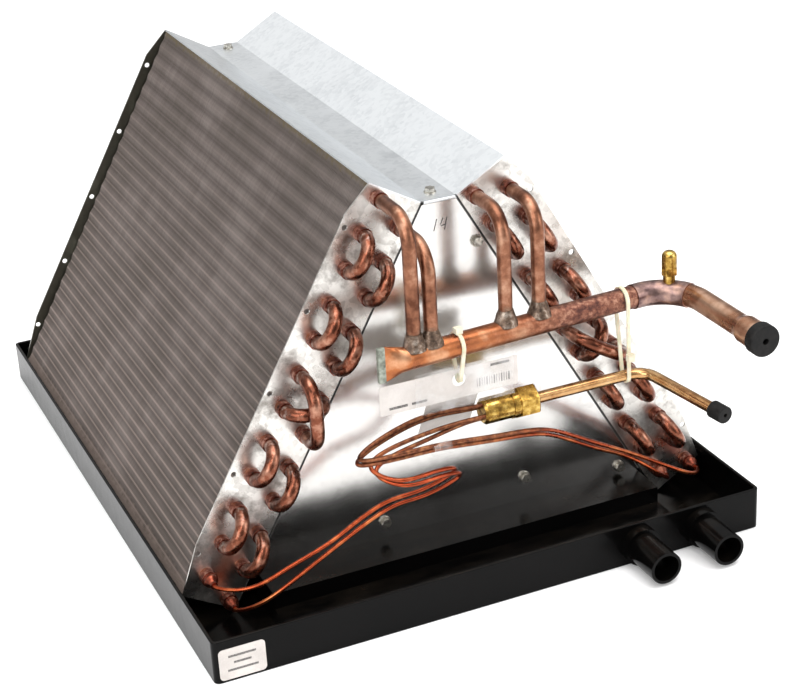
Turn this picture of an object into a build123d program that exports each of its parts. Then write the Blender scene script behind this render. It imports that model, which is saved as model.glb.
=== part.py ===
from build123d import *
from math import cos, radians, sin
import os

os.makedirs("parts", exist_ok=True)

from_base = (Align.CENTER, Align.CENTER, Align.MIN)

# ---- driving dimensions, mm -------------------------------------------------
# drain pan: the footprint is centred on the origin, its underside is at z = 0
pan_width = 412
pan_depth = 524
pan_height = 31
pan_wall = 2.5
deck_height = 27          # raised deck round the air opening, which carries the coil
ledge_height = 15         # shallow half of the front gutter
gutter_width = 17         # deep half of the front gutter
deck_front = 43           # from the pan's front face to the deck
deck_half_width = 148
opening_half_width = 136
opening_front = 84        # from the pan's front face to the air opening
opening_back = 494
drain_radius = 11.75
drain_bore = 9.6
drain_reach = 37
drain_height = 14
drain_positions = (107, 157)

# coil slabs: two equal slabs lean together over the air opening
lean = 30                 # degrees from vertical
tube_pitch = 25.4
row_pitch = 22
tubes_per_row = 12
slab_length = tube_pitch * tubes_per_row
slab_depth = 42
slab_foot_x = 201.5       # outer bottom corner of a slab
slab_foot_z = 24
sheet_front = -pan_depth / 2 + 74.5
sheet_back = -pan_depth / 2 + 503
sheet_thickness = 1.2
sheet_flange = 6.5        # how far a tube sheet stands proud of the fins
flange_hole_pitch = 60.2
rib_pitch = tube_pitch / 2
rib_depth = 0.9

# copper tube
tube_radius = 4.76
tube_wall = 0.5
bell_radius = 5.5
bell_reach = 7
bend_radius = tube_pitch / 2
crossover_reach = 29.8
feeder_bend = 19

# suction side
header_radius = 8
header_wall = 1
header_z = 184
header_left = -50         # where the pinched end becomes round
header_skew = 3.7         # degrees, the outlet end stands nearer the sheet
header_y = sheet_front - 45
outlet_bend = 30
outlet_x = 160.5
outlet_reach = 321.5        # how far forward of the origin the outlet tube ends
tee_radius = 8.7

# liquid side
liquid_radius = 4
liquid_y = sheet_front - 43
liquid_z = 129.5
liquid_end = Vector(140.5, -pan_depth / 2 - 50, liquid_z)
distributor_x = 4.5
distributor_radius = 9
port_ring = 5.4
port_angle = 10
capillary_radius = 1.5
inlet_reach = 16          # from the tube sheet to the tip of a crimped inlet stub

# ---- places -----------------------------------------------------------------
up_x, up_z = sin(radians(lean)), cos(radians(lean))
inner_foot_x = slab_foot_x - slab_depth * up_z
inner_foot_z = slab_foot_z - slab_depth * up_x


def left_slab(y):
    """Plane across the left slab: X runs up the slab, Y from its outer to its inner face."""
    return Plane(origin=(-slab_foot_x, y, slab_foot_z), x_dir=(up_x, 0, up_z), z_dir=(0, 1, 0))


def right_slab(y):
    """The same plane on the right slab, which is the left one tilted the other way."""
    return Plane(origin=(inner_foot_x, y, inner_foot_z), x_dir=(-up_x, 0, up_z), z_dir=(0, 1, 0))


def tube_place(row, number):
    """Centre of a tube in its slab plane: row 0 or 1, numbered from 1 at the top."""
    half_step = tube_pitch / 2 if row == 0 else 0
    return Vector(tube_pitch / 4 + half_step + tube_pitch * (tubes_per_row - number),
                  slab_depth / 2 + (row - 0.5) * row_pitch)


def tube_world(slab, row, number, y):
    place = tube_place(row, number)
    return slab(y).from_local_coords(Vector(place.X, place.Y, 0))


def header_line(x):
    """Point of the header's centre line over the given x."""
    return Vector(x, header_y + x * sin(radians(header_skew)) / cos(radians(header_skew)), header_z)


# ---- shapes made more than once ---------------------------------------------
def tube_run(points, bend, radius, wall):
    """A drawn tube along straight legs joined by bends of one radius."""
    with BuildLine() as run:
        FilletPolyline(*points, radius=bend)
    with BuildPart() as tube:
        with BuildSketch(Plane(origin=run.line @ 0, z_dir=run.line % 0)):
            Circle(radius)
            Circle(radius - wall, mode=Mode.SUBTRACT)
        sweep(path=run.line)
    return tube.part


def bell(end, radius=bell_radius):
    """The widened tube end that stands out of a front tube sheet."""
    with BuildPart(Plane(origin=end, z_dir=(0, -1, 0))) as cup:
        Cylinder(radius, bell_reach, align=from_base)
        Cylinder(tube_radius, bell_reach, align=from_base, mode=Mode.SUBTRACT)
    return cup.part


def fin_block():
    """One slab's fins as a block whose two faces carry the fins' ripple."""
    steps = round(slab_length / rib_pitch * 2)
    ripple = [Vector(i * rib_pitch / 2, rib_depth * (i % 2)) for i in range(steps + 1)]
    far = [Vector(p.X, slab_depth - p.Y) for p in reversed(ripple)]
    with BuildPart() as block:
        with BuildSketch():
            with BuildLine():
                Polyline(*ripple, *far, close=True)
            make_face()
            with Locations(*[tube_place(row, n + 1) for row in range(2) for n in range(tubes_per_row)]):
                Circle(tube_radius, mode=Mode.SUBTRACT)
        extrude(amount=sheet_back - sheet_front - 2 * sheet_thickness)
    return block.part


def tube_sheet(edge, side):
    """An end plate with tube holes and a screw flange on the slab's outer face."""
    with BuildPart() as sheet:
        with BuildSketch():
            with BuildLine():
                Polyline((0, slab_depth - edge), (slab_length, slab_depth - edge), (slab_length, edge),
                         (slab_length - 24, edge + side * sheet_flange), (38, edge + side * sheet_flange),
                         (0, edge), close=True)
            make_face()
            with Locations(*[tube_place(row, n + 1) for row in range(2) for n in range(tubes_per_row)]):
                Circle(tube_radius, mode=Mode.SUBTRACT)
            with Locations((slab_length / 2, edge + side * 2.6)):
                with GridLocations(flange_hole_pitch, 0, 5, 1):
                    Circle(2, mode=Mode.SUBTRACT)
        extrude(amount=sheet_thickness)
    return sheet.part


def hairpins(slab, row):
    """Six hairpin tubes of one row: both legs end in a bell in front of the sheet."""
    pins = []
    turn = sheet_back + 0.3 + bend_radius
    for number in range(1, tubes_per_row, 2):
        upper = tube_world(slab, row, number, sheet_front)
        lower = tube_world(slab, row, number + 1, sheet_front)
        back = Vector(0, turn - sheet_front, 0)
        pins.append(tube_run([upper, upper + back, lower + back, lower], bend_radius - 0.01,
                             tube_radius, tube_wall))
        pins += [bell(upper), bell(lower)]
    return pins


def return_bends(slab, row):
    """Four return bends of one row, each seated in two bells."""
    bends = []
    reach = Vector(0, -bell_reach - bend_radius, 0)
    for number in (2, 4, 8, 10):
        upper = tube_world(slab, row, number, sheet_front)
        lower = tube_world(slab, row, number + 1, sheet_front)
        bends.append(tube_run([upper, upper + reach, lower + reach, lower], bend_radius - 0.01,
                              tube_radius, tube_wall))
    return bends


def crossover(slab, start_row, reach, bend):
    """A tube from one row's sixth tube to the other row's seventh."""
    upper = tube_world(slab, start_row, 6, sheet_front)
    lower = tube_world(slab, 1 - start_row, 7, sheet_front)
    out = Vector(0, -reach, 0)
    return tube_run([upper, upper + out, lower + out, lower], bend, tube_radius, tube_wall)


def feeder(slab, row):
    """A suction feeder from a row's top tube, forward and down into the header."""
    start = tube_world(slab, row, 1, sheet_front)
    foot = header_line(start.X)
    knee = Vector(start.X, foot.Y, start.Z)
    with BuildPart() as tube:
        add(tube_run([start, knee, foot], feeder_bend, tube_radius, tube_wall))
        with Locations(foot + Vector(0, 0, header_radius - 2)):
            Cone(6.3, tube_radius, 8, align=from_base)
            Cylinder(tube_radius - tube_wall, 9, align=from_base,
                     mode=Mode.SUBTRACT)
        with Locations(header_plane(foot.X)):
            Cylinder(header_radius, 60, mode=Mode.SUBTRACT)
    return tube.part


def header_plane(x):
    """Plane square to the header, looking towards its outlet."""
    return Plane(origin=header_line(x), x_dir=(0, 0, 1),
                 z_dir=(cos(radians(header_skew)), sin(radians(header_skew)), 0))


def tie_loop(plane, near, far, near_radius, far_radius, width=2.6, thickness=1.1):
    """A nylon strap drawn round two round things, as the gap between two hulls."""
    with BuildSketch() as outside:
        with Locations(near):
            Circle(near_radius + thickness)
        with Locations(far):
            Circle(far_radius + thickness)
        make_hull()
    with BuildSketch() as inside:
        with Locations(near):
            Circle(near_radius)
        with Locations(far):
            Circle(far_radius)
        make_hull()
    with BuildPart() as strap:
        with BuildSketch(plane):
            add(outside.sketch)
            add(inside.sketch, mode=Mode.SUBTRACT)
        extrude(amount=width / 2, both=True)
    return strap.part


def capillary(port_angle, waypoints, inlet):
    """A fine copper tube from a distributor port to a coil inlet, in one smooth line."""
    port = distributor_port(port_angle)
    tip = Vector(inlet.X, inlet.Y - inlet_reach, inlet.Z)
    with BuildLine() as run:
        Spline(port, *waypoints, tip, tangents=[(-1, 0, 0), (0, 1, 0)], tangent_scalars=[1, 0.6])
    with BuildPart() as tube:
        with BuildSketch(Plane(origin=port, z_dir=(-1, 0, 0))):
            Circle(capillary_radius)
        sweep(path=run.wire())
    return tube.part


def inlet_reducers(slab):
    """The two bottom tubes of a slab end in stubs crimped down onto the capillaries."""
    stubs = []
    for row in range(2):
        start = tube_world(slab, row, tubes_per_row, sheet_front)
        with BuildPart(Plane(origin=start, z_dir=(0, -1, 0))) as stub:
            Cylinder(tube_radius, 10, align=from_base)
            with Locations((0, 0, 10)):
                Cone(tube_radius, 2.5, 4, align=from_base)
            Cylinder(2.5, inlet_reach, align=from_base)
            Cylinder(tube_radius - tube_wall, 9, align=from_base, mode=Mode.SUBTRACT)
            Cylinder(capillary_radius, inlet_reach, align=from_base, mode=Mode.SUBTRACT)
        stubs.append(stub.part)
    return stubs


def screws(seat, places):
    """Hexagon-head sheet-metal screws with their washer faces on one plane."""
    with BuildPart() as group:
        with BuildSketch(seat):
            with Locations(*places):
                Circle(4.2)
        extrude(amount=0.8)
        with BuildSketch(seat.offset(0.8)):
            with Locations(*places):
                RegularPolygon(3.6, 6)
        extrude(amount=2.6)
        with BuildSketch(seat):
            with Locations(*places):
                Circle(1.9)
        extrude(amount=-8)
    return group.part


def distributor_port(angle):
    """Mouth of the distributor's capillary port at the given angle round its axis."""
    return Vector(distributor_x, liquid_y + port_ring * cos(radians(angle)),
                  liquid_z + port_ring * sin(radians(angle)))


# ---- drain pan --------------------------------------------------------------
# Moulded in one piece: outer wall, gutters round a raised deck, open in the middle for the air.
pan_front = -pan_depth / 2
opening_centre = pan_front + (opening_front + opening_back) / 2
deck_back = pan_depth / 2 - 12
with BuildPart() as drain_pan:
    with BuildSketch():
        RectangleRounded(pan_width, pan_depth, 4)
    extrude(amount=pan_height)
    with BuildSketch(Plane.XY.offset(pan_wall)):
        RectangleRounded(pan_width - 2 * pan_wall, pan_depth - 2 * pan_wall, 2)
    extrude(amount=pan_height, mode=Mode.SUBTRACT)
    with BuildSketch(Plane.XY.offset(pan_wall)):
        with Locations((0, (pan_front + deck_front + deck_back) / 2)):
            Rectangle(2 * deck_half_width, deck_back - pan_front - deck_front)
    extrude(amount=deck_height - pan_wall)
    with BuildSketch(Plane.XY.offset(pan_wall)):
        with Locations((0, pan_front + (pan_wall + gutter_width + deck_front) / 2)):
            Rectangle(2 * deck_half_width, deck_front - pan_wall - gutter_width)
    extrude(amount=ledge_height - pan_wall)
    with BuildSketch():
        with Locations((0, opening_centre)):
            RectangleRounded(2 * opening_half_width, opening_back - opening_front, 6)
    extrude(amount=deck_height, mode=Mode.SUBTRACT)
    with BuildSketch():
        with Locations((0, pan_front + (deck_front + opening_front) / 2)):
            Rectangle(2 * opening_half_width, opening_front - deck_front - 2 * pan_wall)
    extrude(amount=deck_height - pan_wall, mode=Mode.SUBTRACT)
    for side in (-1, 1):
        with BuildSketch():
            with Locations((side * (deck_half_width + opening_half_width) / 2, opening_centre)):
                Rectangle(deck_half_width - opening_half_width - 2 * pan_wall, 380)
        extrude(amount=deck_height - pan_wall, mode=Mode.SUBTRACT)
    with BuildSketch(Plane.XZ.offset(-pan_front)):
        with Locations(*[(x, drain_height) for x in drain_positions]):
            Circle(drain_radius)
    extrude(amount=drain_reach)
    with BuildSketch(Plane.XZ.offset(-pan_front)):
        with Locations(*[(x, drain_height + 0.5) for x in drain_positions]):
            Circle(drain_radius + 2.2)
    extrude(amount=7)
    with BuildSketch(Plane.XZ.offset(-pan_front - pan_wall)):
        with Locations(*[(x, drain_height) for x in drain_positions]):
            Circle(drain_bore)
    extrude(amount=drain_reach + pan_wall, mode=Mode.SUBTRACT)
    outer_rim = drain_pan.faces().filter_by(Axis.Z).group_by(Axis.Z)[-1].edges()
    fillet(outer_rim, 0.7)
drain_pan.part.label = "drain_pan"
export_step(drain_pan.part, "parts/drain_pan.step")

# ---- coil slabs -------------------------------------------------------------
fins_start = sheet_front + sheet_thickness
with BuildPart() as left_fin_pack:
    add(left_slab(fins_start).location * fin_block())
left_fin_pack.part.label = "left_fin_pack"
export_step(left_fin_pack.part, "parts/left_fin_pack.step")

with BuildPart() as right_fin_pack:
    add(right_slab(fins_start).location * fin_block())
right_fin_pack.part.label = "right_fin_pack"
export_step(right_fin_pack.part, "parts/right_fin_pack.step")

with BuildPart() as left_front_sheet:
    add(left_slab(sheet_front).location * tube_sheet(0, -1))
left_front_sheet.part.label = "left_front_sheet"
export_step(left_front_sheet.part, "parts/left_front_sheet.step")

with BuildPart() as right_front_sheet:
    add(right_slab(sheet_front).location * tube_sheet(slab_depth, 1))
right_front_sheet.part.label = "right_front_sheet"
export_step(right_front_sheet.part, "parts/right_front_sheet.step")

with BuildPart() as left_rear_sheet:
    add(left_slab(sheet_back - sheet_thickness).location * tube_sheet(0, -1))
left_rear_sheet.part.label = "left_rear_sheet"
export_step(left_rear_sheet.part, "parts/left_rear_sheet.step")

with BuildPart() as right_rear_sheet:
    add(right_slab(sheet_back - sheet_thickness).location * tube_sheet(slab_depth, 1))
right_rear_sheet.part.label = "right_rear_sheet"
export_step(right_rear_sheet.part, "parts/right_rear_sheet.step")

# Hairpin tubes: each is one long U, laced through the fins from behind.
with BuildPart() as left_outer_hairpins:
    add(hairpins(left_slab, 0))
left_outer_hairpins.part.label = "left_outer_hairpins"
export_step(left_outer_hairpins.part, "parts/left_outer_hairpins.step")

with BuildPart() as left_inner_hairpins:
    add(hairpins(left_slab, 1))
left_inner_hairpins.part.label = "left_inner_hairpins"
export_step(left_inner_hairpins.part, "parts/left_inner_hairpins.step")

with BuildPart() as right_inner_hairpins:
    add(hairpins(right_slab, 0))
right_inner_hairpins.part.label = "right_inner_hairpins"
export_step(right_inner_hairpins.part, "parts/right_inner_hairpins.step")

with BuildPart() as right_outer_hairpins:
    add(hairpins(right_slab, 1))
right_outer_hairpins.part.label = "right_outer_hairpins"
export_step(right_outer_hairpins.part, "parts/right_outer_hairpins.step")

# Return bends: brazed into the bells, they join neighbouring tubes of one row.
with BuildPart() as left_outer_bends:
    add(return_bends(left_slab, 0))
left_outer_bends.part.label = "left_outer_bends"
export_step(left_outer_bends.part, "parts/left_outer_bends.step")

with BuildPart() as left_inner_bends:
    add(return_bends(left_slab, 1))
left_inner_bends.part.label = "left_inner_bends"
export_step(left_inner_bends.part, "parts/left_inner_bends.step")

with BuildPart() as right_inner_bends:
    add(return_bends(right_slab, 0))
right_inner_bends.part.label = "right_inner_bends"
export_step(right_inner_bends.part, "parts/right_inner_bends.step")

with BuildPart() as right_outer_bends:
    add(return_bends(right_slab, 1))
right_outer_bends.part.label = "right_outer_bends"
export_step(right_outer_bends.part, "parts/right_outer_bends.step")

# Crossovers: half way down, the two circuits of a slab swap rows. The long one passes in front.
short_reach = bell_reach + bend_radius
with BuildPart() as left_long_crossover:
    add(crossover(left_slab, 0, crossover_reach, 15))
left_long_crossover.part.label = "left_long_crossover"
export_step(left_long_crossover.part, "parts/left_long_crossover.step")

with BuildPart() as left_short_crossover:
    add(crossover(left_slab, 1, short_reach, bend_radius - 0.01))
left_short_crossover.part.label = "left_short_crossover"
export_step(left_short_crossover.part, "parts/left_short_crossover.step")

with BuildPart() as right_long_crossover:
    add(crossover(right_slab, 0, crossover_reach, 15))
right_long_crossover.part.label = "right_long_crossover"
export_step(right_long_crossover.part, "parts/right_long_crossover.step")

with BuildPart() as right_short_crossover:
    add(crossover(right_slab, 1, short_reach, bend_radius - 0.01))
right_short_crossover.part.label = "right_short_crossover"
export_step(right_short_crossover.part, "parts/right_short_crossover.step")

# ---- sheet metal ------------------------------------------------------------
# Delta plates close the triangle between the slabs, level with the tube sheets.
gap = 0.3
top_half = slab_foot_x - slab_length * up_x - slab_depth * up_z - gap
top_level = slab_foot_z + slab_length * up_z - slab_depth * up_x
deck_half = top_half + (top_level - deck_height) * up_x / up_z
front_screws = ((-52, 39), (57, 45), (134, 33), (26, 233))
with BuildPart() as front_delta_plate:
    with BuildSketch(Plane.XZ.offset(-sheet_front - sheet_thickness)):
        with BuildLine():
            Polyline((-deck_half, deck_height), (deck_half, deck_height), (top_half, top_level),
                     (-top_half, top_level), close=True)
        make_face()
        with Locations(*front_screws):
            Circle(2, mode=Mode.SUBTRACT)
    extrude(amount=sheet_thickness)
front_delta_plate.part.label = "front_delta_plate"
export_step(front_delta_plate.part, "parts/front_delta_plate.step")

with BuildPart() as rear_delta_plate:
    with BuildSketch(Plane.XZ.offset(-sheet_back)):
        with BuildLine():
            Polyline((-deck_half, deck_height), (deck_half, deck_height), (top_half, top_level),
                     (-top_half, top_level), close=True)
        make_face()
        with Locations(*front_screws):
            Circle(2, mode=Mode.SUBTRACT)
    extrude(amount=sheet_thickness)
rear_delta_plate.part.label = "rear_delta_plate"
export_step(rear_delta_plate.part, "parts/rear_delta_plate.step")

# Top cap: one folded sheet over both slab tops, with a flat valley between them.
cap_thickness = 1
crown_x = slab_foot_x - slab_length * up_x
crown_z = slab_foot_z + slab_length * up_z
valley_screws = (sheet_front + 14, sheet_back - 14)
with BuildPart() as top_cap:
    with BuildSketch(Plane.XZ.offset(-sheet_front)):
        with BuildLine():
            under = Polyline((-crown_x, crown_z), (-top_half - gap, top_level), (top_half + gap, top_level),
                             (crown_x, crown_z))
            offset(under, cap_thickness, side=Side.LEFT)
        make_face()
    extrude(amount=sheet_front - sheet_back)
    with BuildSketch(Plane.XY.offset(top_level)):
        with Locations(*[(0, y) for y in valley_screws]):
            Circle(2)
    extrude(amount=2 * cap_thickness, mode=Mode.SUBTRACT)
top_cap.part.label = "top_cap"
export_step(top_cap.part, "parts/top_cap.step")

# ---- suction side -----------------------------------------------------------
with BuildPart() as left_outer_feeder:
    add(feeder(left_slab, 0))
left_outer_feeder.part.label = "left_outer_feeder"
export_step(left_outer_feeder.part, "parts/left_outer_feeder.step")

with BuildPart() as left_inner_feeder:
    add(feeder(left_slab, 1))
left_inner_feeder.part.label = "left_inner_feeder"
export_step(left_inner_feeder.part, "parts/left_inner_feeder.step")

with BuildPart() as right_inner_feeder:
    add(feeder(right_slab, 0))
right_inner_feeder.part.label = "right_inner_feeder"
export_step(right_inner_feeder.part, "parts/right_inner_feeder.step")

with BuildPart() as right_outer_feeder:
    add(feeder(right_slab, 1))
right_outer_feeder.part.label = "right_outer_feeder"
export_step(right_outer_feeder.part, "parts/right_outer_feeder.step")

# Header: a straight tube pinched flat at its left end and drilled for the four feeders.
bend_start_x = outlet_x - outlet_bend * (1 + sin(radians(header_skew)))
bend_centre = Vector(outlet_x - outlet_bend,
                     header_line(bend_start_x).Y - outlet_bend * cos(radians(header_skew)), header_z)
feeder_feet = [tube_world(slab, row, 1, 0).X for slab in (left_slab, right_slab) for row in range(2)]
round_end = header_plane(header_left)
with BuildPart() as suction_header:
    with BuildSketch(round_end):
        Circle(header_radius)
    with BuildSketch(round_end.offset(-14)):
        SlotOverall(24.5, 2.8)
    loft()
    with BuildSketch(round_end.offset(-14)):
        SlotOverall(24.5, 2.8)
    extrude(amount=-6)
    with BuildSketch(round_end):
        Circle(header_radius)
        Circle(header_radius - header_wall, mode=Mode.SUBTRACT)
    extrude(amount=(header_line(bend_start_x) - header_line(header_left)).length)
    for foot in feeder_feet:
        with Locations(header_line(foot)):
            Cylinder(tube_radius - tube_wall, header_radius + 1,
                     align=from_base, mode=Mode.SUBTRACT)
suction_header.part.label = "suction_header"
export_step(suction_header.part, "parts/suction_header.step")

# Service tee: the sleeve that takes the header into its forward bend and carries the valve.
tee_end_angle = 24
with BuildLine(Plane.XY.offset(header_z)) as tee_run:
    CenterArc((bend_centre.X, bend_centre.Y), outlet_bend, tee_end_angle, 90 + header_skew - tee_end_angle)
    Line(header_line(bend_start_x - 5), header_line(bend_start_x))
with BuildPart() as tee_core:
    with BuildSketch(header_plane(bend_start_x - 5)):
        Circle(tee_radius)
    sweep(path=tee_run.wire())
with BuildPart() as service_tee:
    with BuildSketch(header_plane(bend_start_x - 5)):
        Circle(tee_radius)
        Circle(header_radius, mode=Mode.SUBTRACT)
    sweep(path=tee_run.wire())
service_tee.part.label = "service_tee"
export_step(service_tee.part, "parts/service_tee.step")

# Outlet tube: it turns forward inside the tee's end and is widened to take the customer's line.
outlet_start_angle = tee_end_angle + 8
outlet_end_y = -outlet_reach
with BuildLine(Plane.XY.offset(header_z)) as outlet_run:
    first = CenterArc((bend_centre.X, bend_centre.Y), outlet_bend, outlet_start_angle, -outlet_start_angle)
    Line(first @ 1, (outlet_x, outlet_end_y + 20))
with BuildPart() as suction_outlet:
    with BuildSketch(Plane(origin=outlet_run.wire() @ 0, z_dir=outlet_run.wire() % 0)):
        Circle(header_radius)
        Circle(header_radius - header_wall, mode=Mode.SUBTRACT)
    sweep(path=outlet_run.wire())
    with BuildSketch(Plane.YZ.offset(outlet_x)):
        with BuildLine():
            Polyline((outlet_end_y + 20, header_z + header_radius - header_wall),
                     (outlet_end_y + 14, header_z + header_radius + 0.6),
                     (outlet_end_y, header_z + header_radius + 0.6),
                     (outlet_end_y, header_z + header_radius + 1.6),
                     (outlet_end_y + 14, header_z + header_radius + 1.6),
                     (outlet_end_y + 20, header_z + header_radius), close=True)
        make_face()
    revolve(axis=Axis((outlet_x, 0, header_z), (0, 1, 0)))
suction_outlet.part.label = "suction_outlet"
export_step(suction_outlet.part, "parts/suction_outlet.step")

# Suction plug: a rubber stopper pushed into the widened end, with a hole for the charge gas.
plug_radius = 11
with BuildPart(Plane(origin=(outlet_x, outlet_end_y, header_z), z_dir=(0, -1, 0))) as suction_plug:
    Cylinder(plug_radius, 8, align=from_base)
    Cylinder(header_radius + 0.6, 12, align=(Align.CENTER, Align.CENTER, Align.MAX))
    Cylinder(2.2, 40, mode=Mode.SUBTRACT)
    fillet(suction_plug.faces().sort_by(Axis.Y)[0].outer_wire().edges(), 1.2)
suction_plug.part.label = "suction_plug"
export_step(suction_plug.part, "parts/suction_plug.step")

# Service valve: a stub brazed on top of the tee, closed by a brass cap.
valve_angle = 52
valve_x = bend_centre.X + outlet_bend * cos(radians(valve_angle))
valve_y = bend_centre.Y + outlet_bend * sin(radians(valve_angle))
with BuildPart() as service_valve:
    with Locations((valve_x, valve_y, header_z)):
        Cylinder(4.2, tee_radius + 5, align=from_base)
        Cylinder(3.4, tee_radius + 11, align=from_base)
    add(tee_core, mode=Mode.SUBTRACT)
service_valve.part.label = "service_valve"
export_step(service_valve.part, "parts/service_valve.step")

with BuildPart() as valve_cap:
    with Locations((valve_x, valve_y, header_z + tee_radius + 5)):
        Cylinder(5.2, 17, align=from_base)
        Cylinder(3.4, 6, align=from_base, mode=Mode.SUBTRACT)
    fillet(valve_cap.faces().sort_by(Axis.Z)[-1].edges(), 4.2)
    grip = Plane((valve_x, valve_y, header_z + tee_radius + 5))
    with BuildSketch(grip):
        RegularPolygon(5.9, 6)
        Circle(3.4, mode=Mode.SUBTRACT)
    extrude(amount=5)
valve_cap.part.label = "valve_cap"
export_step(valve_cap.part, "parts/valve_cap.step")

# ---- liquid side ------------------------------------------------------------
# Distributor: a turned brass body that splits the liquid between four capillaries.
body_length = 21
nut_length = 19
thread_radius = 6.5
liquid_plane = Plane(origin=(distributor_x, liquid_y, liquid_z), x_dir=(0, 1, 0), z_dir=(1, 0, 0))
with BuildPart(liquid_plane) as distributor_body:
    Cylinder(distributor_radius, body_length, align=from_base)
    chamfer(distributor_body.faces().sort_by(Axis.X)[0].edges(), 1.5)
    Cylinder(thread_radius, body_length + 12, align=from_base)
    with Locations((0, 0, 8)):
        Cylinder(liquid_radius, body_length + 4, align=from_base, mode=Mode.SUBTRACT)
distributor_body.part.label = "distributor_body"
export_step(distributor_body.part, "parts/distributor_body.step")

nut_seat = Plane(origin=(distributor_x + body_length, liquid_y, liquid_z), z_dir=(1, 0, 0))
with BuildPart() as flare_nut:
    with BuildSketch(nut_seat):
        Circle(9.6)
    extrude(amount=5)
    with BuildSketch(nut_seat.offset(5)):
        RegularPolygon(11.4, 6)
    extrude(amount=nut_length - 5)
    chamfer(flare_nut.faces().sort_by(Axis.X)[-1].edges(), 1)
    with Locations(nut_seat):
        Cylinder(thread_radius, 12.5, align=from_base, mode=Mode.SUBTRACT)
        Cylinder(liquid_radius, nut_length, align=from_base, mode=Mode.SUBTRACT)
flare_nut.part.label = "flare_nut"
export_step(flare_nut.part, "parts/flare_nut.step")

# Liquid tube: level with the distributor, then bent forward beside the suction outlet.
liquid_start = Vector(distributor_x + 10 + body_length, liquid_y, liquid_z)
with BuildPart() as liquid_tube:
    add(tube_run([liquid_start, Vector(129.5, liquid_y, liquid_z), liquid_end], 15, liquid_radius, 0.8))
liquid_tube.part.label = "liquid_tube"
export_step(liquid_tube.part, "parts/liquid_tube.step")

liquid_heading = (liquid_end - Vector(129.5, liquid_y, liquid_z)).normalized()
with BuildPart(Plane(origin=liquid_end, z_dir=liquid_heading)) as liquid_cap:
    with Locations((0, 0, -9)):
        Cylinder(6, 12, align=from_base)
    Cylinder(liquid_radius, 9, align=(Align.CENTER, Align.CENTER, Align.MAX), mode=Mode.SUBTRACT)
    Cylinder(1.4, 20, mode=Mode.SUBTRACT)
    fillet(liquid_cap.faces().sort_by(Axis.Y)[0].outer_wire().edges(), 1)
liquid_cap.part.label = "liquid_cap"
export_step(liquid_cap.part, "parts/liquid_cap.step")

# Capillaries: all four swing round a common coil at the left before they part. Two come back
# along the front of the pan to the right slab, two take a second turn and run to the left slab.
right_way = [Vector(-46, pan_front + 33.5, 134), Vector(-87, pan_front + 22.5, 121.5),
             Vector(-74, pan_front + 10.5, 126), Vector(-40, pan_front + 7.5, 127),
             Vector(6, pan_front + 8.5, 122), Vector(39, pan_front + 14.5, 115),
             Vector(64, pan_front + 24.5, 101), Vector(95, pan_front + 32.5, 81),
             Vector(128, pan_front + 40.5, 60), Vector(158, pan_front + 42, 41)]
left_way = [Vector(-46, pan_front + 26, 126), Vector(-80, pan_front + 22.5, 113),
            Vector(-70, pan_front + 10.5, 108.5), Vector(-43, pan_front + 9.5, 107),
            Vector(-23, pan_front + 17.5, 100), Vector(-44, pan_front + 26.5, 86),
            Vector(-66, pan_front + 28.5, 83), Vector(-89, pan_front + 30.5, 73),
            Vector(-109, pan_front + 31.5, 62), Vector(-140, pan_front + 33.5, 49.5),
            Vector(-170, pan_front + 41.5, 38)]
right_beside = Vector(-1, 2, -4)
left_beside = Vector(3.2, -0.8, -4.1)
with BuildPart() as right_outer_capillary:
    add(capillary(port_angle + 90, right_way + [Vector(180, pan_front + 45, 29)],
                  tube_world(right_slab, 1, tubes_per_row, sheet_front)))
right_outer_capillary.part.label = "right_outer_capillary"
export_step(right_outer_capillary.part, "parts/right_outer_capillary.step")

with BuildPart() as right_inner_capillary:
    add(capillary(port_angle,
                  [p + right_beside for p in right_way[:-1]] + [Vector(153, pan_front + 43.5, 35)],
                  tube_world(right_slab, 0, tubes_per_row, sheet_front)))
right_inner_capillary.part.label = "right_inner_capillary"
export_step(right_inner_capillary.part, "parts/right_inner_capillary.step")

with BuildPart() as left_outer_capillary:
    add(capillary(port_angle + 180, left_way, tube_world(left_slab, 0, tubes_per_row, sheet_front)))
left_outer_capillary.part.label = "left_outer_capillary"
export_step(left_outer_capillary.part, "parts/left_outer_capillary.step")

with BuildPart() as left_inner_capillary:
    add(capillary(port_angle + 270, [p + left_beside for p in left_way[:-2]]
                  + [Vector(-143, pan_front + 34.5, 35), Vector(-161, pan_front + 43.5, 21.5)],
                  tube_world(left_slab, 1, tubes_per_row, sheet_front)))
left_inner_capillary.part.label = "left_inner_capillary"
export_step(left_inner_capillary.part, "parts/left_inner_capillary.step")

with BuildPart() as left_inlet_reducers:
    add(inlet_reducers(left_slab))
left_inlet_reducers.part.label = "left_inlet_reducers"
export_step(left_inlet_reducers.part, "parts/left_inlet_reducers.step")

with BuildPart() as right_inlet_reducers:
    add(inlet_reducers(right_slab))
right_inlet_reducers.part.label = "right_inlet_reducers"
export_step(right_inlet_reducers.part, "parts/right_inlet_reducers.step")

# ---- screws, ties and papers ------------------------------------------------
with BuildPart() as front_screws_set:
    add(screws(Plane.XZ.offset(-sheet_front), front_screws))
front_screws_set.part.label = "front_screws"
export_step(front_screws_set.part, "parts/front_screws.step")

with BuildPart() as rear_screws_set:
    add(screws(Plane(origin=(0, sheet_back, 0), x_dir=(1, 0, 0), z_dir=(0, 1, 0)),
               [(x, -z) for x, z in front_screws]))
rear_screws_set.part.label = "rear_screws"
export_step(rear_screws_set.part, "parts/rear_screws.step")

with BuildPart() as cap_screws:
    add(screws(Plane.XY.offset(top_level + cap_thickness), [(0, y) for y in valley_screws]))
cap_screws.part.label = "cap_screws"
export_step(cap_screws.part, "parts/cap_screws.step")

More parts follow.
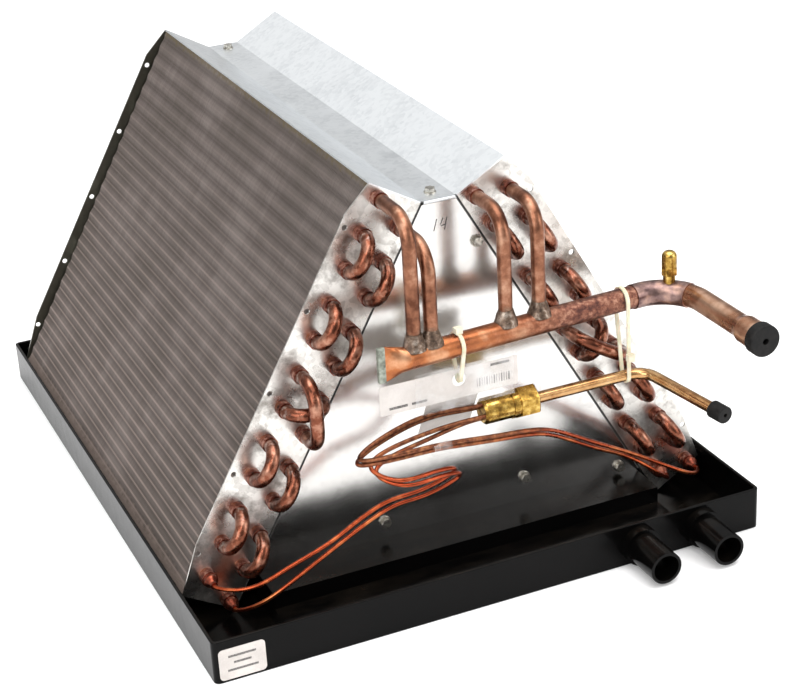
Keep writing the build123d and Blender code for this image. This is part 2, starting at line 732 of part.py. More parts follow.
# Cable ties: one hangs the papers from the header, one holds the liquid tube to the header.
eyelet_drop = 24
with BuildPart() as header_tie:
    add(tie_loop(header_plane(-12), (0, 0), (-eyelet_drop, 0), header_radius, 2))
    with BuildSketch(header_plane(-12)):
        with Locations((header_radius + 2.6, 1)):
            Rectangle(4, 5)
    extrude(amount=2.4, both=True)
header_tie.part.label = "header_tie"
export_step(header_tie.part, "parts/header_tie.step")

tie_x = 115
with BuildPart() as line_tie:
    add(tie_loop(Plane.YZ.offset(tie_x), (header_line(tie_x).Y, header_z), (liquid_y, liquid_z),
                 header_radius + 0.3, liquid_radius))
    with BuildSketch(Plane.YZ.offset(tie_x)):
        with Locations((liquid_y - liquid_radius - 2.6, liquid_z + 16)):
            Rectangle(4, 5)
    extrude(amount=2.4, both=True)
line_tie.part.label = "line_tie"
export_step(line_tie.part, "parts/line_tie.step")

# Papers: a blank tag and a blank slip, one in front of the other, on the header tie.
paper_y = header_line(-12).Y
with BuildPart() as paper_tag:
    with BuildSketch(Plane.XZ.offset(-paper_y - 0.4)):
        with Locations((-19, 156)):
            RectangleRounded(100, 21, 1)
        with Locations((-12, header_z - eyelet_drop - 1)):
            Circle(5, mode=Mode.SUBTRACT)
    extrude(amount=0.4)
paper_tag.part.label = "paper_tag"
export_step(paper_tag.part, "parts/paper_tag.step")

with BuildPart() as blank_label:
    with BuildSketch(Plane.XZ.offset(-pan_front)):
        with Locations((-186.5, 13)):
            RectangleRounded(32, 23, 3)
    extrude(amount=0.3)
blank_label.part.label = "blank_label"
export_step(blank_label.part, "parts/blank_label.step")
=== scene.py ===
from math import cos, radians, sin, tau

import bpy
from mathutils import Matrix, Vector


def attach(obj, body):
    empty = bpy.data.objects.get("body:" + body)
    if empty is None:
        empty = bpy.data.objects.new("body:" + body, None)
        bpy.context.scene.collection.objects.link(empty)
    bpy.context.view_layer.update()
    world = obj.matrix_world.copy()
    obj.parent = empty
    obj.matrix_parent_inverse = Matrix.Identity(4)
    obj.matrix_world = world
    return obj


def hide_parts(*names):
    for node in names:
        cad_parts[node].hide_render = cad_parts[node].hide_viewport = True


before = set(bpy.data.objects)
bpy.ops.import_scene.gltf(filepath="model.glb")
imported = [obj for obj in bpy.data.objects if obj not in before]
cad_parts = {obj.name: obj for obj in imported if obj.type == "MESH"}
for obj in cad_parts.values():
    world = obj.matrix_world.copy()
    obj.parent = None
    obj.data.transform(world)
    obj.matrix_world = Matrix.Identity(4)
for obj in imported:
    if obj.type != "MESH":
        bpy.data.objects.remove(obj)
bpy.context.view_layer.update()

# ---- drain pan ---------------------------------------------------------------
# One piece of glossy black plastic, moulded: faint flow bands and a dusty film on
# the faces that look up. The moulding grain is a fine bump.


def linear(code):
    """Linear colour of an sRGB hex code."""
    parts = [int(code[i:i + 2], 16) / 255 for i in (0, 2, 4)]
    return [p / 12.92 if p <= 0.04045 else ((p + 0.055) / 1.055) ** 2.4 for p in parts] + [1.0]


def add_node(mat, kind, sockets=(), **settings):
    """A shader node with its settings, and its sockets filled by a constant or a link."""
    made = mat.node_tree.nodes.new(kind)
    for key, value in settings.items():
        setattr(made, key, value)
    for key, value in dict(sockets).items():
        if isinstance(value, bpy.types.NodeSocket):
            mat.node_tree.links.new(value, made.inputs[key])
        else:
            made.inputs[key].default_value = value
    return made


def new_material(name):
    """An empty material with its surface shader and the object's own coordinates."""
    mat = bpy.data.materials.new(name)
    mat.use_nodes = True
    shader = mat.node_tree.nodes["Principled BSDF"]
    place = add_node(mat, "ShaderNodeTexCoord").outputs["Object"]
    return mat, shader, place


def fill(mat, shader, sockets):
    """Fill the sockets of a material's surface shader."""
    for key, value in sockets.items():
        if isinstance(value, bpy.types.NodeSocket):
            mat.node_tree.links.new(value, shader.inputs[key])
        else:
            shader.inputs[key].default_value = value


def noise(mat, place, size_mm, detail=4.0, rough=0.55, stretch=(1, 1, 1), shift=(0, 0, 0)):
    """Noise whose blobs are about size_mm across, drawn out where stretch is below 1."""
    turned = add_node(mat, "ShaderNodeMapping", {"Vector": place, "Scale": stretch, "Location": shift})
    made = add_node(mat, "ShaderNodeTexNoise", {"Vector": turned.outputs["Vector"], "Scale": 1000 / size_mm,
                                                "Detail": detail, "Roughness": rough})
    return made.outputs["Fac"]


def ramp(mat, factor, stops):
    """Colour ramp from pairs of position and sRGB hex code."""
    made = add_node(mat, "ShaderNodeValToRGB", {"Fac": factor})
    points = made.color_ramp.elements
    while len(points) < len(stops):
        points.new(0.5)
    for point, (at, code) in zip(points, stops):
        point.position = at
        point.color = linear(code)
    return made.outputs["Color"]


def spread(mat, value, low, high, to_low=0.0, to_high=1.0):
    """Value carried from one range to another, and clamped."""
    made = add_node(mat, "ShaderNodeMapRange", {"Value": value, "From Min": low, "From Max": high,
                                                "To Min": to_low, "To Max": to_high})
    return made.outputs["Result"]


def blend(mat, factor, first, second):
    """Mix of two colours."""
    made = add_node(mat, "ShaderNodeMix", {0: factor, 6: first, 7: second}, data_type="RGBA")
    return made.outputs[2]


def grain(mat, height, strength, depth_mm):
    """Bump from a height."""
    made = add_node(mat, "ShaderNodeBump", {"Height": height, "Strength": strength,
                                            "Distance": depth_mm / 1000})
    return made.outputs["Normal"]


def math(mat, operation, first, second=0.0):
    """Arithmetic on two values."""
    return add_node(mat, "ShaderNodeMath", {0: first, 1: second}, operation=operation).outputs[0]


def dress(mat, *nodes):
    """Give CAD nodes their material."""
    for name in nodes:
        piece = bpy.data.objects[name]
        piece.data.materials.clear()
        piece.data.materials.append(mat)


black, shader, place = new_material("black_plastic_gloss_moulded")
facing = add_node(black, "ShaderNodeNewGeometry").outputs["Normal"]
facing_up = add_node(black, "ShaderNodeSeparateXYZ", {"Vector": facing}).outputs["Z"]
film = math(black, "MULTIPLY", spread(black, facing_up, 0.5, 1.0),
            spread(black, noise(black, place, 26, 6, 0.7, (0.35, 1, 1)), 0.42, 0.68))
tone = ramp(black, noise(black, place, 60, 5, 0.6), [(0.3, "030303"), (0.7, "070606")])
tone = blend(black, math(black, "MULTIPLY", film, 0.3), tone, linear("2a241d"))
fill(black, shader, {
    "Base Color": tone,
    "Specular IOR Level": 0.1,
    "Roughness": math(black, "ADD", spread(black, noise(black, place, 9, 5), 0.3, 0.7, 0.13, 0.2),
                      math(black, "MULTIPLY", film, 0.12)),
    "Normal": grain(black, noise(black, place, 14, 3), 0.25, 0.4)})
dress(black, "drain_pan")

# ---- sheet metal -------------------------------------------------------------
# Galvanised steel sheet, cut and folded: zinc spangle in patches some 4 mm across,
# brown handling and flux stains. A thin dark line of painted shade stands for the
# shadowed gap where the front delta plate meets each leaning tube sheet.
slab_lean = radians(30)
seam_reach = 0.14454     # from the middle plane to the seam, square to the seam
seam_front = -0.186      # only faces further forward than this show the seam


def galvanised(name, light, dark, stain, stain_from, rough, spangle_mm):
    """Galvanised sheet with spangle between two greys and a stain colour over it."""
    mat, shader, place = new_material(name)
    warp = noise(mat, place, 12, 3)
    push = add_node(mat, "ShaderNodeVectorMath", {0: warp, "Scale": 0.0025}, operation="SCALE")
    moved = add_node(mat, "ShaderNodeVectorMath", {0: place, 1: push.outputs[0]}, operation="ADD")
    cells = add_node(mat, "ShaderNodeTexVoronoi", {"Vector": moved.outputs[0], "Scale": 1000 / spangle_mm})
    flake = add_node(mat, "ShaderNodeSeparateColor", {"Color": cells.outputs["Color"]}).outputs["Red"]
    cloud = noise(mat, place, 45, 6, 0.65)
    mixed = math(mat, "ADD", math(mat, "MULTIPLY", flake, 0.28), math(mat, "MULTIPLY", cloud, 0.85))
    tone = ramp(mat, mixed, [(0.15, dark), (0.62, light)])
    at = add_node(mat, "ShaderNodeSeparateXYZ", {"Vector": place}).outputs
    beside = math(mat, "MULTIPLY", math(mat, "ABSOLUTE", at["X"]), cos(slab_lean))
    raised = math(mat, "MULTIPLY", at["Z"], sin(slab_lean))
    beyond = math(mat, "SUBTRACT", math(mat, "ADD", beside, raised), seam_reach)
    # Painted shade: a thin near-black line along each seam, in place of the shadow in the gap between the
    # delta plate and the tube sheet.
    seam_shade = spread(mat, math(mat, "ABSOLUTE", beyond), 0.0005, 0.0011, 1, 0)
    in_front = spread(mat, at["Y"], seam_front - 0.0001, seam_front + 0.0001, 1, 0)
    seam_shade = math(mat, "MULTIPLY", seam_shade, in_front)
    blotch = noise(mat, place, 30, 8, 0.72, shift=(3, 1, 2))
    dirt = spread(mat, blotch, stain_from, stain_from + 0.16, 0, 0.75)
    fill(mat, shader, {
        "Base Color": blend(mat, seam_shade, blend(mat, dirt, tone, linear(stain)), linear("060606")),
        "Metallic": math(mat, "SUBTRACT", spread(mat, dirt, 0, 1, 1.0, 0.75), seam_shade),
        "Roughness": math(mat, "ADD", spread(mat, cloud, 0.3, 0.7, rough - 0.02, rough + 0.04),
                          math(mat, "MULTIPLY", dirt, 0.2)),
        "Normal": grain(mat, cloud, 0.07, 0.6)})
    return mat


zinc_sheet = galvanised("galvanised_sheet_stained", "dcd9d4", "96918b", "5e554c", 0.52, 0.27, 4)
zinc_plate = galvanised("galvanised_plate_bright", "dbd9d6", "c6c3c0", "a0958b", 0.7, 0.18, 4)
zinc_cap = galvanised("galvanised_cap_pale", "eef1f3", "d4d8db", "c4c2bf", 0.7, 0.34, 3.2)
# The rear sheets take a darker copy of the galvanised sheet, which is painted shade, and their faces that
# look forward get more painted shade in dull olive.
zinc_rear = galvanised("galvanised_rear_shaded", "c4c2ba", "84827a", "5f584c", 0.52, 0.34, 4)
shader = zinc_rear.node_tree.nodes["Principled BSDF"]
facing = add_node(zinc_rear, "ShaderNodeNewGeometry").outputs["Normal"]
facing_back = add_node(zinc_rear, "ShaderNodeSeparateXYZ", {"Vector": facing}).outputs["Y"]
facing_front = math(zinc_rear, "MULTIPLY", facing_back, -1)
forward_shade = spread(zinc_rear, facing_front, 0.5, 0.9, 0, 0.9)
bare = shader.inputs["Base Color"].links[0].from_socket
fill(zinc_rear, shader, {"Base Color": blend(zinc_rear, forward_shade, bare, linear("6a695c"))})
dress(zinc_sheet, "left_front_sheet", "right_front_sheet")
dress(zinc_rear, "left_rear_sheet", "right_rear_sheet")
dress(zinc_plate, "front_delta_plate", "rear_delta_plate")
dress(zinc_cap, "top_cap")

# ---- screws ------------------------------------------------------------------
# Zinc-plated hexagon sheet-metal screws, driven: darker than the sheet, with a
# yellowish passivated tint and worn crowns.
plated, shader, place = new_material("zinc_plated_steel_passivated")
wear = noise(plated, place, 2.5, 4)
fill(plated, shader, {
    "Base Color": ramp(plated, wear, [(0.35, "85817a"), (0.65, "d2cec4")]),
    "Metallic": 1.0,
    "Roughness": spread(plated, wear, 0.3, 0.7, 0.42, 0.24),
    "Normal": grain(plated, wear, 0.3, 0.15)})
dress(plated, "front_screws", "rear_screws", "cap_screws")

# ---- fins --------------------------------------------------------------------
# Aluminium fin stock, stamped with a ripple and threaded on to the tubes one by one:
# each fin is a sheet of its own. The fins are a little thicker than real stock, so
# that their edges show.
fin_long = 0.3048                # twelve tube pitches of 25.4 mm
fin_deep = 0.042
fin_thick = 0.00022
fin_pitch = 0.002
fins_a_slab = 212
ripple_pitch = 0.0127            # half a tube pitch
ripple_step = ripple_pitch / 4   # a fin's edge has four steps to each ripple
foot_x = 0.2015                  # the slab's outer foot, from the middle plane
foot_y = -0.1855
foot_z = 0.024


def fin_stock(name, side):
    """Dull aluminium, with painted shade in the valleys of the ripple and painted highlight bands at twice
    its pitch, stronger toward the foot.
    """
    mat, shader, place = new_material(name)
    lean_up = (-side * sin(slab_lean), 0, cos(slab_lean))
    along = add_node(mat, "ShaderNodeVectorMath", {0: place, 1: lean_up},
                     operation="DOT_PRODUCT").outputs["Value"]
    foot = foot_z * cos(slab_lean) - foot_x * sin(slab_lean)
    up = math(mat, "SUBTRACT", along, foot)
    # Painted shade darkens the valleys of the ripple.
    rib_shade = spread(mat, math(mat, "COSINE", math(mat, "MULTIPLY", up, tau / ripple_pitch)), -1, 1)
    # Painted highlight: bright bands at twice the ripple's pitch, stronger toward the foot.
    ripple_highlight = math(mat, "COSINE", math(mat, "MULTIPLY", up, tau / (ripple_pitch / 2)))
    ripple_highlight = math(mat, "MULTIPLY", spread(mat, ripple_highlight, 0.55, 1), spread(mat, up, 0.26, 0.05, 0.08, 0.6))
    scratch = noise(mat, place, 1.3, 2, 0.5, (0.012, 1, 0.012))
    patch = noise(mat, place, 70, 5, 0.6)
    mottle = math(mat, "ADD", math(mat, "MULTIPLY", patch, 0.82), math(mat, "MULTIPLY", scratch, 0.18))
    base = ramp(mat, mottle, [(0.36, "7b726c"), (0.5, "857b76"), (0.64, "958b86")])
    # Painted shade in the ripple's valleys, then painted highlight bands over it.
    base = blend(mat, spread(mat, rib_shade, 0, 0.55, 0.62, 1), linear("3d3733"), base)
    base = blend(mat, ripple_highlight, base, linear("c9b7ae"))
    ragged = math(mat, "ADD", up, math(mat, "MULTIPLY", noise(mat, place, 5, 3), 0.012))
    base = blend(mat, spread(mat, ragged, 0.015, 0.009, 0, 0.8), base, linear("b8a79d"))
    base = blend(mat, spread(mat, ragged, 0.3065, 0.3095, 0, 0.55), base, linear("7d6f48"))
    fill(mat, shader, {"Base Color": base, "Metallic": 0.3, "Roughness": 0.5})
    return mat


def fins(name, side, pack):
    """One slab's fins: a rippled sheet laid in the slab, thickened and repeated along the tubes."""
    bpy.ops.object.select_all(action="DESELECT")
    middle = (fin_long / 2, fin_deep / 2, 0)
    bpy.ops.mesh.primitive_grid_add(x_subdivisions=round(fin_long / ripple_step), y_subdivisions=1, size=1,
                                    location=middle)
    made = bpy.context.object
    made.name = name
    bpy.ops.object.mode_set(mode="EDIT")
    bpy.ops.mesh.select_all(action="SELECT")
    bpy.ops.transform.resize(value=(fin_long, fin_deep, 1), center_override=middle)
    for step, depth in ((2, 0.9), (1, 0.5), (3, 0.5)):
        for edge, inward in ((0.0, 1), (fin_deep, -1)):
            bpy.ops.mesh.select_all(action="DESELECT")
            bpy.ops.object.mode_set(mode="OBJECT")
            for vertex in made.data.vertices:
                at = made.matrix_world @ vertex.co
                rank = round(at.x / ripple_step)
                vertex.select = rank % 4 == step and abs(at.y - edge) < 0.002
            bpy.ops.object.mode_set(mode="EDIT")
            bpy.ops.transform.translate(value=(0, inward * depth / 1000, 0))
    bpy.ops.mesh.select_all(action="SELECT")
    bpy.ops.mesh.extrude_region_move(TRANSFORM_OT_translate={"value": (0, 0, fin_thick)})
    bpy.ops.object.mode_set(mode="OBJECT")
    bpy.ops.object.transform_apply(location=True, rotation=True, scale=True)
    rows = made.modifiers.new("rows", "ARRAY")
    rows.count = fins_a_slab
    rows.use_relative_offset = False
    rows.use_constant_offset = True
    rows.constant_offset_displace = (0, 0, fin_pitch)
    bpy.ops.object.modifier_apply(modifier="rows")
    lean_up = Vector((-side * sin(slab_lean), 0, cos(slab_lean)))
    back = Vector((0, 1, 0))
    inward = Vector((-side * cos(slab_lean), 0, -sin(slab_lean)))
    foot = Vector((side * foot_x, foot_y, foot_z))
    turn = Matrix((lean_up, inward, back)).transposed().to_4x4()
    made.matrix_world = Matrix.Translation(foot) @ turn
    bpy.ops.object.transform_apply(location=True, rotation=True, scale=True)
    made.data.materials.append(fin_stock("aluminium_fin_stock_" + name.split("_")[0], side))
    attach(made, "root")
    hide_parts(pack)


fins("left_fins", -1, "left_fin_pack")
fins("right_fins", 1, "right_fin_pack")

# ---- copper tube -------------------------------------------------------------
# Soft copper, drawn, bent and brazed: bright where it was left alone, brown and
# purple where the torch was, silver-grey flux bloom beside the joints.


def copper(name, tones, spot_mm, rough=0.3, torch=None, axis="Y", span=(0, 1)):
    """Oxidised copper; torch tones take over along one axis between the two ends of span."""
    mat, shader, place = new_material(name)
    patch = noise(mat, place, spot_mm, 5, 0.6)
    steps = len(tones) - 1
    base = ramp(mat, patch, [(0.32 + 0.36 * i / steps, tone) for i, tone in enumerate(tones)])
    heat = 0.0
    if torch:
        at = add_node(mat, "ShaderNodeSeparateXYZ", {"Vector": place}).outputs[axis]
        wander = math(mat, "MULTIPLY", math(mat, "SUBTRACT", noise(mat, place, 7, 4, 0.7), 0.5), 0.03)
        heat = spread(mat, math(mat, "ADD", at, wander), span[0], span[1])
        speck = noise(mat, place, 4.5, 5, 0.7, shift=(5, 2, 7))
        hot = ramp(mat, speck, [(0.36 + 0.28 * i / (len(torch) - 1), tone) for i, tone in enumerate(torch)])
        base = blend(mat, heat, base, hot)
    fine = noise(mat, place, 1.4, 3, 0.6)
    fill(mat, shader, {
        "Base Color": base,
        "Metallic": 0.96,
        "Roughness": math(mat, "ADD", spread(mat, patch, 0.3, 0.7, rough - 0.06, rough + 0.08),
                          math(mat, "MULTIPLY", heat, 0.12)),
        "Normal": grain(mat, math(mat, "ADD", math(mat, "MULTIPLY", fine, 0.4), patch), 0.09, 0.2)})
    return mat


bend_copper = copper("copper_bend_heat_tinted", ("4a2a1f", "7a4735", "b98a74"), 10, 0.26,
                     ("2e2624", "6e4436", "b3a9a2"), "Y", (-0.206, -0.192))
hairpin_copper = copper("copper_hairpin_drawn", ("7a4532", "ab6a4c"), 16, 0.3,
                        ("33211c", "74392a", "b98c7c"), "Y", (-0.184, -0.19))
for side in ("left", "right"):
    dress(bend_copper, side + "_inner_bends", side + "_outer_bends", side + "_long_crossover",
          side + "_short_crossover")
    dress(hairpin_copper, side + "_inner_hairpins", side + "_outer_hairpins")

# ---- feeders and suction header ----------------------------------------------
# Hard copper, brazed: the feeders carry streaks and a grey collar of filler at the
# foot; the header runs from bright orange at its pinched end to purple-brown.
feeder_copper = copper("copper_feeder_streaked", ("573527", "8c5e48", "b98f76"), 13, 0.36,
                       ("4b4038", "7d6a5a", "a8947c"), "Z", (0.204, 0.193))
header_copper = copper("copper_header_heat_tinted", ("7a4630", "a8663f", "cf9c78"), 20, 0.3,
                       ("4e3430", "7a5042", "a57c68"), "X", (-0.01, 0.07))
outlet_copper = copper("copper_outlet_golden", ("7a503c", "ab7c60", "d4ae94"), 24, 0.27,
                       ("6c5250", "8b6e66", "a8887c"), "Y", (-0.24, -0.225))
tee_copper = copper("copper_tee_fluxed", ("5f4b4b", "8a706a", "b08f80"), 8, 0.33)
for side in ("left", "right"):
    dress(feeder_copper, side + "_inner_feeder", side + "_outer_feeder")
dress(header_copper, "suction_header")
dress(outlet_copper, "suction_outlet")
dress(tee_copper, "service_tee")

# ---- braze and solder --------------------------------------------------------
# Silver-brazing filler run round each feeder's foot, lumpy and grey-brown from flux,
# and the greenish solder that closes the header's pinched end.
header_y = -0.2325       # the header's centre where it crosses the middle plane
header_z = 0.184
header_slope = 0.06467   # tangent of its turn away from square, 3.7 degrees
filler, shader, place = new_material("braze_filler_fluxed")
lumps = noise(filler, place, 5, 5, 0.65)
fill(filler, shader, {
    "Base Color": ramp(filler, lumps, [(0.36, "3f332c"), (0.5, "6d5a4c"), (0.64, "a3968a")]),
    "Metallic": 0.8,
    "Roughness": spread(filler, lumps, 0.3, 0.7, 0.45, 0.26),
    "Normal": grain(filler, lumps, 0.3, 0.6)})
solder, shader, place = new_material("solder_grey_oxidised")
crust = noise(solder, place, 4, 5, 0.6)
fill(solder, shader, {
    "Base Color": ramp(solder, crust, [(0.36, "5c5f55"), (0.64, "9aa094")]),
    "Metallic": 0.6,
    "Roughness": 0.42,
    "Normal": grain(solder, crust, 0.4, 0.5)})


def header_at(x):
    """Centre of the suction header over the given x."""
    return Vector((x, header_y + x * header_slope, header_z))


def finish_piece(made, name, mat):
    """Name a finished piece, seat its place in its mesh, and tie it to the frame."""
    made.name = name
    bpy.ops.object.mode_set(mode="OBJECT")
    bpy.ops.object.transform_apply(location=True, rotation=True, scale=True)
    made.data.materials.append(mat)
    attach(made, "root")


feeder_places = (-0.0436, -0.0309, 0.0246, 0.04995)
for number, x in enumerate(feeder_places):
    bpy.ops.object.select_all(action="DESELECT")
    bpy.ops.mesh.primitive_cone_add(vertices=48, radius1=0.0084, radius2=0.0048, depth=0.011,
                                    end_fill_type="NOTHING", location=header_at(x) + Vector((0, 0, 0.0108)))
    collar = bpy.context.object
    bpy.ops.object.mode_set(mode="EDIT")
    bpy.ops.mesh.select_all(action="SELECT")
    bpy.ops.mesh.subdivide(number_cuts=7)
    bpy.ops.object.mode_set(mode="OBJECT")
    bumps = bpy.data.textures.new("filler_lumps", "CLOUDS")
    bumps.noise_scale = 0.009
    lumpy = collar.modifiers.new("lumpy", "DISPLACE")
    lumpy.texture = bumps
    lumpy.texture_coords = "GLOBAL"
    lumpy.strength = 0.0012
    lumpy.mid_level = 0.4
    bpy.ops.object.modifier_apply(modifier="lumpy")
    bpy.ops.object.shade_smooth()
    finish_piece(collar, "feeder_braze_%d" % (number + 1), filler)

bpy.ops.object.select_all(action="DESELECT")
pinched_end = header_at(-0.0678)
bpy.ops.mesh.primitive_cube_add(size=1, location=pinched_end, rotation=(0, 0, radians(3.7)))
seal = bpy.context.object
bpy.ops.object.mode_set(mode="EDIT")
bpy.ops.transform.resize(value=(0.0052, 0.0034, 0.0249), center_override=pinched_end)
bpy.ops.mesh.bevel(offset=0.0008, segments=3, affect="EDGES")
finish_piece(seal, "header_solder", solder)

# ---- liquid tube and capillaries ---------------------------------------------
# Golden soft copper for the liquid tube; the capillaries are thin drawn copper,
# orange-red along their runs and brown beside the distributor.
liquid_copper = copper("copper_liquid_golden", ("a1744a", "c49a6a", "dcb98e"), 18, 0.22)
capillary_copper = copper("copper_capillary_drawn", ("7c3420", "a3482a", "cd7d4c"), 20, 0.26,
                          ("4f3024", "7a4a34", "9a6a48"), "Z", (0.108, 0.122))
reducer_copper = copper("copper_reducer_crimped", ("4a2820", "8a4534", "b87a62"), 8, 0.34)
dress(liquid_copper, "liquid_tube")
for side in ("left", "right"):
    dress(capillary_copper, side + "_inner_capillary", side + "_outer_capillary")
    dress(reducer_copper, side + "_inlet_reducers")

# ---- brass -------------------------------------------------------------------
# Turned brass, bright with a brownish bloom: the distributor with its flare nut and
# the service valve with its screw cap.
brass, shader, place = new_material("brass_turned")
bloom = noise(brass, place, 6, 5, 0.6)
turning = noise(brass, place, 0.8, 2, 0.5, (1, 1, 1))
fill(brass, shader, {
    "Base Color": ramp(brass, bloom, [(0.34, "6b4f24"), (0.5, "a8853f"), (0.68, "dcbc70")]),
    "Metallic": 1.0,
    "Roughness": spread(brass, bloom, 0.3, 0.7, 0.32, 0.2),
    "Normal": grain(brass, turning, 0.12, 0.1)})
dress(brass, "distributor_body", "flare_nut", "service_valve", "valve_cap")

# ---- rubber ------------------------------------------------------------------
# Black moulded rubber stoppers pushed into the open tube ends, matt and a little
# dusty.
rubber, shader, place = new_material("rubber_black_matt")
dust = noise(rubber, place, 5, 6, 0.7)
fill(rubber, shader, {
    "Base Color": ramp(rubber, dust, [(0.4, "080808"), (0.75, "232120")]),
    "Roughness": spread(rubber, dust, 0.3, 0.7, 0.5, 0.7),
    "Specular IOR Level": 0.2,
    "Normal": grain(rubber, dust, 0.2, 0.2)})
dress(rubber, "suction_plug", "liquid_cap")

# ---- nylon ties --------------------------------------------------------------
# Natural nylon cable ties, moulded, drawn tight and cut: cream and slightly clear,
# with a fine bump for the strap's texture.
nylon, shader, place = new_material("nylon_natural_moulded")
milk = noise(nylon, place, 9, 3)
fill(nylon, shader, {
    "Base Color": ramp(nylon, milk, [(0.35, "c9c2a4"), (0.65, "e0dbc6")]),
    "Roughness": 0.38,
    "Subsurface Weight": 0.25,
    "Subsurface Scale": 0.002,
    "Normal": grain(nylon, noise(nylon, place, 0.9, 1, 0.4), 0.3, 0.15)})
dress(nylon, "header_tie", "line_tie")

# ---- label and tag -----------------------------------------------------------
# Plain white paper: the label is glued to the pan, the tag hangs on its tie behind
# the header, with a second slip below it. The print on them is plain grey bars.
label_face = -0.26235    # where the print on the label lies
tag_face = -0.23338      # where the print on the tag lies
paper, shader, place = new_material("paper_white_plain")
pulp = noise(paper, place, 0.7, 3)
crease = noise(paper, place, 24, 3, 0.5)
fill(paper, shader, {
    "Base Color": ramp(paper, math(paper, "ADD", math(paper, "MULTIPLY", pulp, 0.3),
                                   math(paper, "MULTIPLY", crease, 0.7)),
                       [(0.35, "bdb6b1"), (0.6, "d6d0cb")]),
    "Roughness": 0.62,
    "Normal": grain(paper, crease, 0.4, 1.2)})
dress(paper, "blank_label", "paper_tag")


def slip(name, size, centre, tilt, mat):
    """A thin flat piece standing across the front, tilted back about its middle."""
    bpy.ops.object.select_all(action="DESELECT")
    bpy.ops.mesh.primitive_cube_add(size=1, location=centre, rotation=(radians(tilt), 0, 0))
    made = bpy.context.object
    made.scale = size
    bpy.ops.object.transform_apply(location=False, rotation=False, scale=True)
    bpy.ops.object.mode_set(mode="EDIT")
    bpy.ops.mesh.select_all(action="SELECT")
    bpy.ops.mesh.bevel(offset=min(size) * 0.3, segments=1, affect="EDGES")
    finish_piece(made, name, mat)
    return made


ink, shader, place = new_material("ink_grey_printed")
fill(ink, shader, {"Base Color": ramp(ink, noise(ink, place, 0.8, 3), [(0.4, "4c4846"), (0.66, "8a8582")]),
                   "Roughness": 0.6})
label_lines = ((-0.1865, 0.0185, 0.019), (-0.1865, 0.0135, 0.012), (-0.1865, 0.0082, 0.021))
for number, (x, z, length) in enumerate(label_lines):
    slip("label_line_%d" % (number + 1), (length, 0.0001, 0.0016), (x, label_face, z), 0, ink)
slip("lower_slip", (0.038, 0.0003, 0.042), (-0.0155, -0.2215, 0.1305), 29, paper)
for number in range(14):
    bar_width = 0.001 if number % 3 == 1 else 0.0004
    slip("tag_bar_%d" % (number + 1), (bar_width, 0.0001, 0.006),
         (0.001 + 0.0018 * number, tag_face, 0.1532), 0, ink)
tag_lines = ((-0.056, 0.1496, 0.013), (-0.041, 0.1496, 0.011), (0.018, 0.1638, 0.014))
for number, (x, z, length) in enumerate(tag_lines):
    slip("tag_line_%d" % (number + 1), (length, 0.0001, 0.0018), (x, tag_face, z), 0, ink)

# ---- clear film --------------------------------------------------------------
# A thin clear bag over the tag and a wrap of clear tape round the capillaries: almost
# invisible film that shows by its glints.
clear, shader, place = new_material("clear_film_crinkled")
crinkle = noise(clear, place, 14, 4, 0.6)
fill(clear, shader, {
    "Base Color": ramp(clear, crinkle, [(0.4, "d9d6d2"), (0.6, "ffffff")]),
    "Roughness": 0.1,
    "Alpha": spread(clear, crinkle, 0.4, 0.66, 0.06, 0.22),
    "Normal": grain(clear, crinkle, 0.9, 3)})
slip("clear_bag", (0.072, 0.0002, 0.03), (-0.008, -0.2342, 0.1545), 0, clear)
bpy.ops.object.select_all(action="DESELECT")
bpy.ops.mesh.primitive_cylinder_add(vertices=40, radius=0.0046, depth=0.013, end_fill_type="NOTHING",
                                    location=(-0.036, -0.2535, 0.1238), rotation=(0, radians(90), 0))
bpy.ops.object.shade_smooth()
finish_piece(bpy.context.object, "capillary_tape", clear)

# ---- marks on the front plate ------------------------------------------------
# A hand-drawn number in black marker on the galvanised plate, and the bright folded
# hem of the cap's valley.
plate_face = -0.18762    # where the marker lies on the front delta plate
marker, shader, place = new_material("marker_black_dry")
worn = noise(marker, place, 1.5, 3)
fill(marker, shader, {"Base Color": ramp(marker, worn, [(0.3, "0c0b0b"), (0.75, "3c3836")]),
                      "Roughness": 0.7})
strokes = ((-0.0035, 0.2502, 0.0085, 17), (0.0012, 0.2520, 0.0050, 24), (0.0026, 0.2492, 0.0040, 80),
           (0.0040, 0.2500, 0.0090, 14))
for number, (x, z, length, turn) in enumerate(strokes):
    stroke = slip("pen_stroke_%d" % (number + 1), (0.0005, 0.0001, length), (0, 0, 0), 0, marker)
    bpy.ops.object.select_all(action="DESELECT")
    stroke.select_set(True)
    bpy.context.view_layer.objects.active = stroke
    stroke.matrix_world = Matrix.Translation((x, plate_face, z)) @ Matrix.Rotation(radians(turn), 4, "Y")
    bpy.ops.object.transform_apply(location=True, rotation=True, scale=True)
bpy.ops.object.select_all(action="DESELECT")
bpy.ops.mesh.primitive_cylinder_add(vertices=24, radius=0.0011, depth=0.0254, location=(0, -0.188, 0.2672),
                                    rotation=(0, radians(90), 0))
bpy.ops.object.shade_smooth_by_angle(angle=radians(40))
finish_piece(bpy.context.object, "cap_hem", zinc_cap)

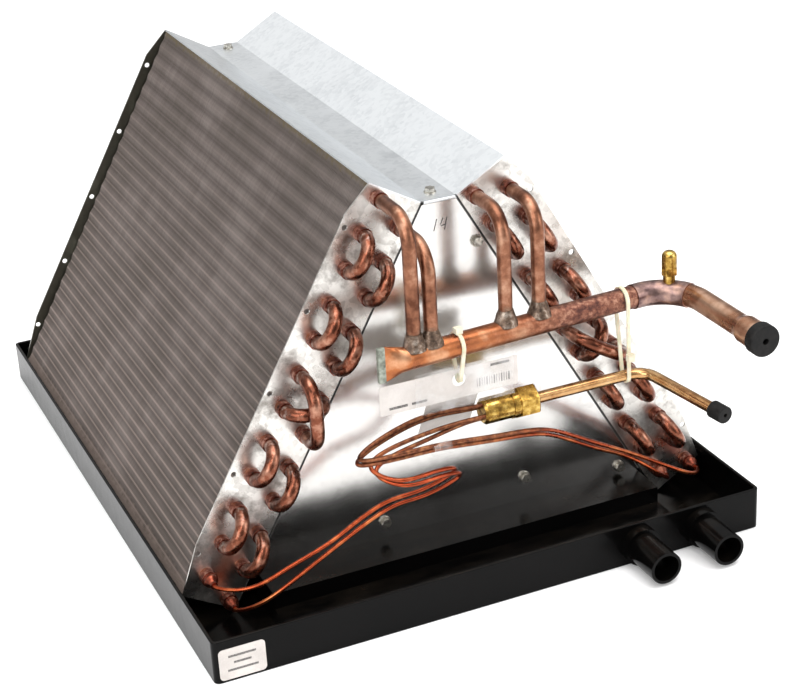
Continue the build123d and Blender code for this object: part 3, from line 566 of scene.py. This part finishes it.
# ---- floor and light ---------------------------------------------------------
# A pale seamless floor, a broad soft light overhead, a large one at the left, a small
# one for glints and a weaker fill at the right. The room round it is striped for the
# metal to mirror, and the background is seen as plain white.
bpy.ops.object.select_all(action="DESELECT")
bpy.ops.mesh.primitive_plane_add(size=30, location=(0, 0, -0.0005))
floor = bpy.context.object
floor.name = "floor"
pale, shader, place = new_material("floor_pale_plain")
fill(pale, shader, {"Base Color": ramp(pale, noise(pale, place, 900, 2), [(0.3, "fbfbfb"), (0.7, "ffffff")]),
                    "Roughness": 0.9})
distance = add_node(pale, "ShaderNodeVectorMath", {0: place}, operation="LENGTH").outputs["Value"]
glow = math(pale, "MULTIPLY", spread(pale, distance, 1.0, 3.5, 0.06, 0.6),
            add_node(pale, "ShaderNodeLightPath").outputs["Is Camera Ray"])
fill(pale, shader, {"Emission Color": (1, 1, 1, 1), "Emission Strength": glow})
floor.data.materials.append(pale)


def soft_light(name, place, aim, size, power):
    """A square soft light at a place, aimed at a point."""
    bpy.ops.object.light_add(type="AREA", location=place)
    lamp = bpy.context.object
    lamp.name = name
    lamp.data.shape = "SQUARE"
    lamp.data.size = size
    lamp.data.energy = power
    lamp.rotation_euler = (Vector(aim) - Vector(place)).to_track_quat("-Z", "Y").to_euler()


soft_light("light_top", (0.1, -0.3, 2.0), (0, 0, 0.1), 1.8, 34)
soft_light("light_left", (-1.9, -1.1, 1.1), (0, 0, 0.15), 1.4, 22)
soft_light("light_glint", (-0.9, -1.5, 1.7), (0.05, -0.2, 0.15), 0.35, 6)
soft_light("light_right", (1.6, -1.6, 0.9), (0, 0, 0.15), 1.2, 12)
world = bpy.context.scene.world or bpy.data.worlds.new("studio")
bpy.context.scene.world = world
world.use_nodes = True
around = add_node(world, "ShaderNodeSeparateXYZ", {
    "Vector": add_node(world, "ShaderNodeTexCoord").outputs["Generated"]}).outputs
bearing = math(world, "ARCTAN2", around["Y"], around["X"])
strips = spread(world, math(world, "SINE", math(world, "MULTIPLY", bearing, 5.0)), -0.5, 0.6, 0.3, 1.0)
height = spread(world, around["Z"], 0.35, 0.75)
room = math(world, "ADD", math(world, "MULTIPLY", strips, math(world, "SUBTRACT", 1.0, height)),
            math(world, "MULTIPLY", height, 0.95))
lit = add_node(world, "ShaderNodeBackground", {"Color": (1, 1, 1, 1), "Strength": room})
seen = add_node(world, "ShaderNodeBackground", {"Color": (1, 1, 1, 1), "Strength": 1.0})
camera_ray = add_node(world, "ShaderNodeLightPath").outputs["Is Camera Ray"]
either = add_node(world, "ShaderNodeMixShader", {0: camera_ray, 1: lit.outputs[0], 2: seen.outputs[0]})
world.node_tree.links.new(either.outputs[0], world.node_tree.nodes["World Output"].inputs["Surface"])

# ---- camera ------------------------------------------------------------------
# The photographer's place: in front, well to the left and above, with a long lens
# and the camera rolled a little.
eye = Vector((-0.48055, -1.25602, 0.71002))
yaw, pitch, roll = radians(22.71), radians(24.97), radians(-3.25)
forward = Vector((sin(yaw) * cos(pitch), cos(yaw) * cos(pitch), -sin(pitch)))
level = Vector((cos(yaw), -sin(yaw), 0))
above = level.cross(forward)
right = cos(roll) * level + sin(roll) * above
top = -sin(roll) * level + cos(roll) * above
bpy.ops.object.camera_add()
camera = bpy.context.object
camera.name = "camera"
camera.matrix_world = Matrix.Translation(eye) @ Matrix((right, top, -forward)).transposed().to_4x4()
camera.data.sensor_width = 36
camera.data.lens = 85.96
bpy.context.scene.camera = camera
bpy.context.scene.view_settings.view_transform = "Standard"
